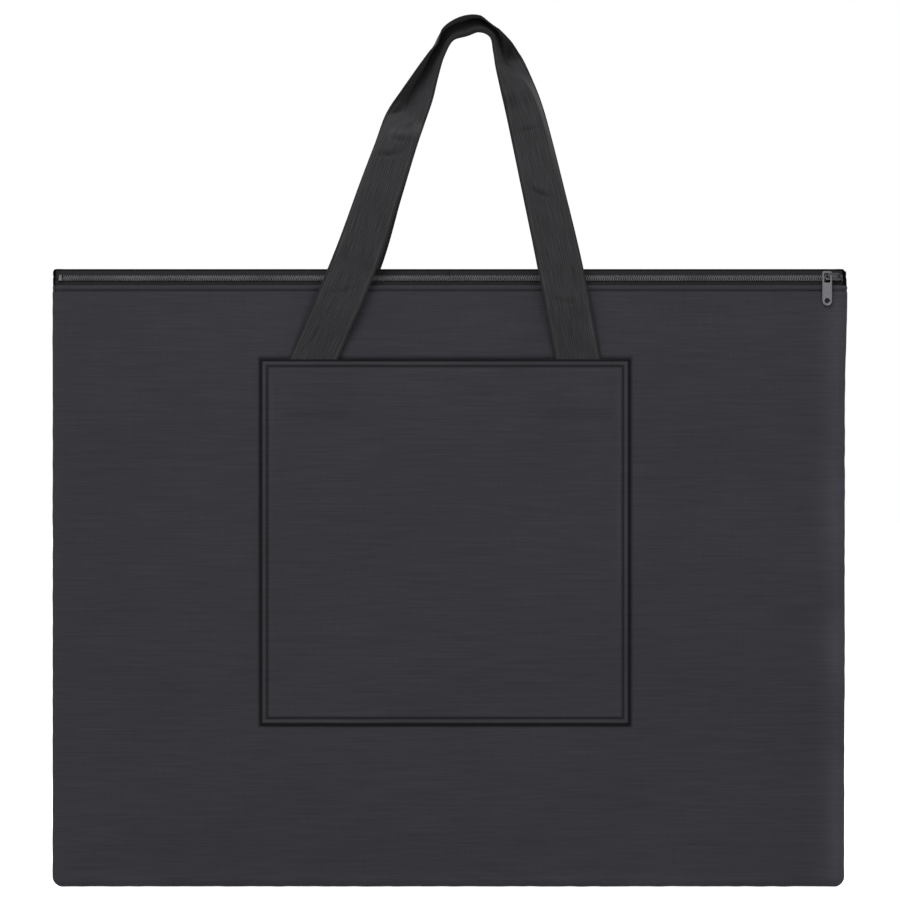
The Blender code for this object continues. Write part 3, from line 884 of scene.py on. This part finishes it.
def pull():
    low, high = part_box("pull_tab")
    middle = (low.x + high.x) / 2
    half = (high.x - low.x) / 2
    y = (low.y + high.y) / 2
    outer = rounded_outline((low.x, low.z), (high.x, high.z), (half * 0.98, 0.0018))
    corners = (middle - 0.0026, high.z - 0.0095), (middle + 0.0026, high.z - 0.0015)
    slot = rounded_outline(*corners, (0.0009, 0.0009), 3)
    hole = [
        (middle + 0.0022 * math.cos(a), low.z + half + 0.0022 * math.sin(a))
        for a in np.linspace(0, 2 * math.pi, 21)[:-1]
    ]
    plate = flat_plate("pull_plate", [outer, slot, hole], y, 0.00042, 0.00012)
    finish_piece(plate, "pull", "zip_metal", "pull_tab")
    inset = 0.0008
    corners = (low.x + inset, low.z + inset), (high.x - inset, high.z - inset)
    inner = rounded_outline(*corners, (half * 0.98 - inset, 0.0011))
    rim = flat_plate("pull_rim", [outer, inner], y, 0.0006, 0.00016)
    finish_piece(rim, "pull", "zip_metal")
    rest_low, rest_high = (middle - 0.0018, low.z + 0.0098), (middle + 0.0018, high.z - 0.0112)
    panel = rounded_outline(rest_low, rest_high, (0.0008, 0.0008), 3)
    finish_piece(flat_plate("pull_panel", [panel], y, 0.00054, 0.0001), "pull", "zip_metal")


def zip_stops():
    names = ("zipper_top_stop_front", "zipper_top_stop_back", "zipper_bottom_stop")
    spans = ((-0.0031, -0.0004), (0.0004, 0.0031), (-0.0031, 0.0031))
    for name, (near, far) in zip(names, spans):
        low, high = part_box(name)
        outline = [(low.x, near), (high.x, near), (high.x, far), (low.x, far)]
        parts = [prism(outline, zip_point, 0.0, COIL_HEIGHT)]
        obj = metal_piece(name.replace("zipper_", "") + "_clip", parts, 0.0005, 3)
        finish_piece(obj, "right" if name == "zipper_top_stop_back" else "front", "zip_metal", name)


# ---- Inside
def inner_sheet(node, label, slot, ripple):
    """The flat sheet of a CAD node, or its left or right half."""
    low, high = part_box(node)
    side = 1 if node.startswith("back") else -1
    ends = span_of(label, low.x, high.x)
    xs, zs = spread(*ends, 0.006), spread(low.z, high.z, 0.006)
    x, z = np.meshgrid(xs, zs)
    points = xyz(x, 0 * x, z)
    wave = 0.5 + 0.5 * wobble(points, 16.0, side * 9.0)
    points[:, :, 1] = (low.y + high.y) / 2 - side * ripple * wave
    half = "" if label == "front" else "_" + label
    name = slot + ("_back" if side > 0 else "_front") + half
    obj = make_object(name, points, grid_faces(len(zs), len(xs), flip=side < 0), MATS[slot])
    solidify(obj, 0.0005 if slot == "lining" else high.y - low.y, 0.0)
    finish_piece(obj, label, slot, node)


def insides():
    inner_sheet("front_lining", "front", "lining", 0.0004)
    for label in ("left", "right"):
        inner_sheet("back_lining", label, "lining", 0.0004)
        inner_sheet("back_board", label, "board", 0.0)
    inner_sheet("front_board", "front", "board", 0.0)


def bindings():
    """Tape folded in half over the raw edges, a little uneven along its length."""
    for label in ("left", "right", "bottom"):
        low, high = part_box("seam_binding_" + label)
        upright = label != "bottom"
        run = (low.z, high.z) if upright else (low.x, high.x)
        deep = (low.x, high.x) if upright else (low.z, high.z)
        middle, half = (deep[0] + deep[1]) / 2, (deep[1] - deep[0]) / 2
        thick = (high.y - low.y) / 2
        stations = spread(run[0], run[1], 0.004)
        ring = np.linspace(0, 2 * math.pi, 13)[:-1]
        verts = []
        for at in stations:
            swell = 1 - 0.1 * (0.5 + 0.5 * noise.noise(Vector((at * 70, 3.0, 0.0))))
            for angle in ring:
                u = middle + half * swell * np.sign(math.cos(angle)) * abs(math.cos(angle)) ** 0.4
                y = thick * swell * math.sin(angle)
                verts.append((u, y, at) if upright else (at, y, u))
        faces = grid_faces(len(stations), len(ring), flip=not upright, wrap=True)
        faces.append(tuple(range(len(ring))))
        faces.append(tuple(range(len(verts) - len(ring), len(verts)))[::-1])
        obj = make_object("binding_" + label, verts, faces, MATS["binding"])
        finish_piece(obj, "front", "binding", "seam_binding_" + label)


# ---- Handles
# x, z, visible width, slope of the inner part, slope of the outer part, place of the fold between
# them, and how far the rear strap lies outside the front one. A slope is in degrees out of the
# plane, going outwards; the fold's place is measured outwards from the middle of the webbing.
HANDLE_LINE = [
    (-0.1275, 0.4, 0.038, 0, 0, 0.012, 0),
    (-0.1125, 0.4388, 0.038, 0, 0, 0.012, 0),
    (-0.0786, 0.5179, 0.038, 0, -8, 0.012, -0.0024),
    (-0.0576, 0.5779, 0.0356, -2, -44, 0.012, -0.0006),
    (-0.0434, 0.6179, 0.0336, -6, -58, 0.01, 0.0006),
    (-0.036, 0.6379, 0.0326, -22, -6, 0.008, 0.001),
    (-0.026, 0.6579, 0.0266, -36, 62, 0.005, 0.0012),
    (-0.0168, 0.6779, 0.018, -50, 72, 0.003, 0.0008),
    (-0.008, 0.6955, 0.0108, -52, 80, 0.001, 0.0006),
    (0, 0.7095, 0.0114, -52, 80, 0, 0.0004),
    (0.013, 0.7156, 0.0142, -50, 78, 0, 0.0003),
    (0.0254, 0.7175, 0.0108, -52, 78, 0, 0.0003),
    (0.0367, 0.7109, 0.0074, -56, 76, 0, 0.0004),
    (0.044, 0.6986, 0.0162, -56, 50, 0.001, 0.0006),
    (0.049, 0.6869, 0.0226, -50, 4, 0.003, 0.0008),
    (0.0554, 0.6669, 0.0274, -28, -52, 0.006, 0.001),
    (0.0639, 0.6379, 0.0312, -8, -66, 0.009, 0.001),
    (0.0781, 0.5779, 0.0348, -2, -56, 0.011, 0.0008),
    (0.0916, 0.5179, 0.0372, 0, -24, 0.013, 0.0006),
    (0.1071, 0.4388, 0.038, 0, 0, 0.013, 0),
    (0.115, 0.4, 0.038, 0, 0, 0.013, 0),
]
# How far each strap stands from the seam plane, at these heights
STANCE_Z = (0.4, 0.4388, 0.48, 0.58, 0.66, 0.72)
FRONT_STANCE = (0.0095, 0.0098, 0.0146, 0.0144, 0.009, 0.005)
BACK_STANCE = (0.0098, 0.0098, 0.01, 0.01, 0.008, 0.005)
# x, z, turn from level in degrees, half length, depth of short creases across a strap
CREASES = [
    (-0.05, 0.6085, 3, 0.014, 0.001),
    (-0.0405, 0.6215, -12, 0.011, 0.0008),
    (-0.044, 0.6445, 18, 0.01, 0.0012),
    (-0.033, 0.633, 30, 0.009, 0.0005),
    (0.075, 0.5765, -24, 0.014, 0.001),
    (0.066, 0.629, 12, 0.015, 0.0005),
    (0.05, 0.693, 75, 0.011, 0.0007),
    (-0.087, 0.496, 12, 0.016, 0.0004),
    (0.096, 0.487, -10, 0.017, 0.0004),
]


def smooth_rows(points, positions):
    """Catmull-Rom reading of a list of tuples at positions from 0 to len - 1."""
    data = np.array(points, float)
    last = len(data) - 1
    index = np.clip(positions.astype(int), 0, last - 1)
    t = (positions - index)[:, None]
    a, b = data[np.maximum(index - 1, 0)], data[index]
    c, d = data[index + 1], data[np.minimum(index + 2, last)]
    return b + 0.5 * ((c - a) * t + (2 * a - 5 * b + 4 * c - d) * t**2 + (3 * b - a - 3 * c + d) * t**3)


def folded_section(us, inner, outer, fold, width, limit):
    """The (across, lift, turn) of a strap's cross-section that is folded along one line.

    The slopes are scaled until the section is as wide as asked for. Where it would stand out
    further than limit, its lift is scaled down to fit.
    """
    crease = 0.0018
    step = np.gradient(us)

    def shape(scale):
        low, high = math.radians(inner) * scale, math.radians(outer) * scale
        turn = low + (high - low) * smooth((us - fold + crease) / (2 * crease))
        return np.cumsum(np.cos(turn) * step), np.cumsum(np.sin(turn) * step), turn

    low, high = 0.0, 1.2
    for _ in range(18):
        scale = (low + high) / 2
        across, lift, turn = shape(scale)
        if np.ptp(across) > width:
            low = scale
        else:
            high = scale
    across = (across - (across.max() + across.min()) / 2) * min(1.0, width / np.ptp(across))
    return across, lift * min(1.0, limit / max(1e-6, np.ptp(lift))), turn


def strap(name, side, stance):
    """A webbing handle as one ribbon, ribbed on both faces, with its sewn-down ends."""
    fine = smooth_rows(HANDLE_LINE, np.linspace(0, len(HANDLE_LINE) - 1, 1200))
    run = np.concatenate([[0], np.cumsum(np.linalg.norm(np.diff(fine[:, :2], axis=0), axis=1))])
    stations = spread(0.0, run[-1], STRAP_STEP)
    rows = np.stack([np.interp(stations, run, fine[:, k]) for k in range(fine.shape[1])], axis=1)
    tangents = unit(np.gradient(rows[:, :2], axis=0))
    outward = np.stack([-tangents[:, 1], tangents[:, 0]], axis=1)
    half = WEB_WIDTH / 2
    us = np.linspace(-half, half, 4 * int(WEB_WIDTH / RIB_PITCH) + 1)
    rib = RIB_RISE * (np.abs(np.sin(math.pi * us / RIB_PITCH)) - 0.5)
    rim = np.clip((np.abs(us) - half + 0.0006) / 0.0006, 0, 1)
    thick = (WEB_THICKNESS / 2 + rib) * np.sqrt(1 - 0.85 * rim**2)
    limit = (-cad_box[0].y if side < 0 else cad_box[1].y) + 0.008 - STRAP_BACK_GAP
    points, normals = [], []
    for (x, z, width, inner, outer, fold, offset), out in zip(rows, outward):
        if side > 0:
            x, z = x + out[0] * offset, z + out[1] * offset
        across, lift, turn = folded_section(us, inner, outer, fold, width, limit)
        back = max(STRAP_BACK_GAP, np.interp(z, STANCE_Z, stance) - np.ptp(lift) / 2) - lift.min()
        points.append(xyz(x + out[0] * across, side * (back + lift), z + out[1] * across))
        normals.append(xyz(-out[0] * np.sin(turn), side * np.cos(turn), -out[1] * np.sin(turn)))
    points, normals = np.array(points), np.array(normals)
    crease = np.zeros(points.shape[:2])
    if side < 0:
        for x, z, turn, length, depth in CREASES:
            c, s = math.cos(math.radians(turn)), math.sin(math.radians(turn))
            dx, dz = points[:, :, 0] - x, points[:, :, 2] - z
            along, beside = dx * c + dz * s, dz * c - dx * s - 0.12 * (dx * c + dz * s) ** 2 / length
            near = smooth(1 - abs(along) / length)
            mask, bulge = near * dent(beside, 0.0013), near * dent(abs(beside) - 0.004, 0.0025)
            points = points + normals * (0.4 * depth * bulge - depth * mask)[:, :, None]
            # Painted shade in each crease.
            crease = np.maximum(crease, 0.75 * mask * min(1.0, depth / 0.0007))
    points[:, :, 1] += 0.00035 * wobble(points, 38.0, side * 2.0) * smooth((points[:, :, 2] - 0.45) / 0.03)
    # Painted shade along the valley where the strap folds sharply.
    folded = np.clip((rows[:, 4] - rows[:, 3] - 40.0) / 60.0, 0, 1)
    beside = us[None, :] - rows[:, 5][:, None]
    crease = np.maximum(crease, folded[:, None] * dent(beside, 0.0016))
    front_face = points + normals * thick[None, :, None]
    back_face = points - normals * thick[None, :, None]
    loop = np.concatenate([front_face, back_face[:, ::-1]], axis=1)
    count = loop.shape[1]
    faces = grid_faces(len(loop), count, flip=side > 0, wrap=True)
    ends = [tuple(range(count)), tuple(range((len(loop) - 1) * count, len(loop) * count))[::-1]]
    faces += ends if side > 0 else [end[::-1] for end in ends]
    obj = make_object(name, loop, faces, MATS["webbing"])
    both_us = np.concatenate([us, us[::-1]])
    across, along = np.meshgrid(both_us, stations)
    place = xyz(across, along, 0 * along)
    layer = obj.data.attributes.new("strap", "FLOAT_VECTOR", "POINT")
    layer.data.foreach_set("vector", place.astype(np.float32).ravel())
    # Painted shade along both selvedges, and a painted highlight a little inside each edge.
    inset = half - abs(both_us)
    selvedge_shade = 0.62 * smooth((0.0022 - inset) / 0.0012)
    crease_shade_both_faces = np.concatenate([crease, crease[:, ::-1]], axis=1)
    set_values(obj, "crease", np.maximum(crease_shade_both_faces, selvedge_shade[None, :]))
    set_values(obj, "painted_highlight", np.tile(0.45 * dent(inset - 0.0031, 0.0007), (len(loop), 1)))
    return obj, rows, outward, stations


def straps():
    front, *_ = strap("strap_front", -1, FRONT_STANCE)
    nodes = ("front_handle", "front_strap_end_left", "front_strap_end_right")
    finish_piece(front, None, "webbing", *nodes)
    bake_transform(front)
    rear, rows, outward, stations = strap("strap_back", 1, BACK_STANCE)
    finish_piece(rear, None, "webbing", "back_handle", "back_strap_end_left", "back_strap_end_right")
    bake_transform(rear)
    # A box and a cross of stitches, through each sewn-down end of the rear strap.
    w, low, high = 0.0155, 0.0045, 0.0345
    corners = [(-w, low), (w, low), (w, high), (-w, high), (-w, low), (w, high), (-w, high), (w, low)]
    for label, near, sign in (("left", 0.0, 1), ("right", stations[-1], -1)):
        threads = []
        for (u0, s0), (u1, s1) in zip(corners, corners[1:]):
            u, at = np.linspace(u0, u1, 16), near + sign * np.linspace(s0, s1, 16)
            x, z = (np.interp(at, stations, rows[:, k]) for k in (0, 1))
            out_x, out_z = (np.interp(at, stations, outward[:, k]) for k in (0, 1))
            path = xyz(x + u * out_x, 0 * u + BACK_STANCE[0] + WEB_THICKNESS / 2, z + u * out_z)
            threads.append((path, np.tile((0, 1, 0), (16, 1))))
        finish_piece(stitches("back_strap_thread_" + label, threads), "back", "webbing")


# ---- Studio
def studio():
    glow = {"Emission_Color": (1.0, 1.0, 1.0, 1.0), "Emission_Strength": 0.92}
    white = new_material("floor", (0.92, 0.92, 0.92), 0.9, **glow)
    corners = [(-20.0, -20.0, 0.0), (20.0, -20.0, 0.0), (20.0, 20.0, 0.0), (-20.0, 20.0, 0.0)]
    floor = make_object("floor", corners, [(0, 1, 2, 3)], white)
    put(floor, location=(0.0, 0.0, -0.0005), visible_diffuse=False, visible_glossy=False)
    world = SCENE.world or bpy.data.worlds.new("studio")
    SCENE.world = world
    world.use_nodes = True
    background = world.node_tree.nodes["Background"]
    background.inputs["Color"].default_value = (1.0, 1.0, 1.0, 1.0)
    # The room is white to look at, but lights the case as softly as a wider, dimmer one.
    seen = add_node(world, "ShaderNodeLightPath").outputs["Is Camera Ray"]
    strength = range_of(world, seen, 0.0, 1.0, 0.48, 1.0)
    world.node_tree.links.new(strength, background.inputs["Strength"])
    lights = [
        ("key", (-0.8, -1.6, 2.5), (0.0, 0.0, 0.4), 1.5, 37.0),
        ("fill", (1.6, -2.2, 0.9), (0.0, 0.0, 0.35), 1.8, 11.0),
        ("rear", (0.5, 1.4, 1.6), (0.0, 0.0, 0.35), 1.4, 8.0),
    ]
    for name, place, target, size, power in lights:
        data = put(bpy.data.lights.new(name, "AREA"), shape="SQUARE", size=size, energy=power)
        turn = (Vector(target) - Vector(place)).to_track_quat("-Z", "Y").to_euler()
        link(put(bpy.data.objects.new(name, data), location=place, rotation_euler=turn))
    put(SCENE.view_settings, view_transform="Standard", look="None")


def camera():
    """Straight on to the front, level, with the height that puts the case and both handles in view."""
    data = put(bpy.data.cameras.new("camera"), lens=200.0, sensor_width=36.0)
    view_width = 0.7485
    place = (0.0008, -FACE / 2 - view_width * data.lens / data.sensor_width, 0.3633)
    obj = bpy.data.objects.new("camera", data)
    link(put(obj, location=place, rotation_euler=(math.pi / 2, 0.0, 0.0)))
    SCENE.camera = obj


studio()
camera()
case_cloth()
pocket_cloth()
pocket_threads()
hem_threads()
zip_chain()
slider()
pull()
zip_stops()
insides()
bindings()
straps()
